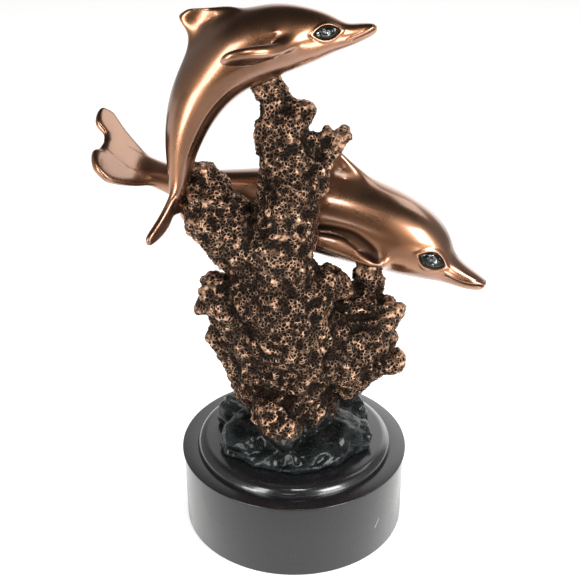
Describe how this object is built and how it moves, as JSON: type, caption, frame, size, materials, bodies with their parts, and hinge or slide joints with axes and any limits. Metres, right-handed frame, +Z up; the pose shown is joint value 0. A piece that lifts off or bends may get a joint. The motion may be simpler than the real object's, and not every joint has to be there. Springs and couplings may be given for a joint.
{
  "type": "dolphin trophy sculpture",
  "caption": "Bronze-finished leaping dolphins resting on branching coral, standing on a round black stepped plinth.",
  "frame": {"origin": "centre of the plinth's underside", "axes": "+Z up, the side shown in the picture faces -Y, the dolphins' heads point towards +X"},
  "size_m": [0.2062, 0.1285, 0.2924],
  "materials": {
    "bronze": "polished dark bronze and copper tones, darker on the backs",
    "coral_bronze": "antiqued bronze with a fine network of copper ridges over dark pits",
    "black": "satin black lacquer"
  },
  "bodies": {
    "root": {"plinth": "black", "coral": "coral_bronze", "upper_dolphin": "bronze", "lower_dolphin": "bronze"}
  },
  "joints": []
}
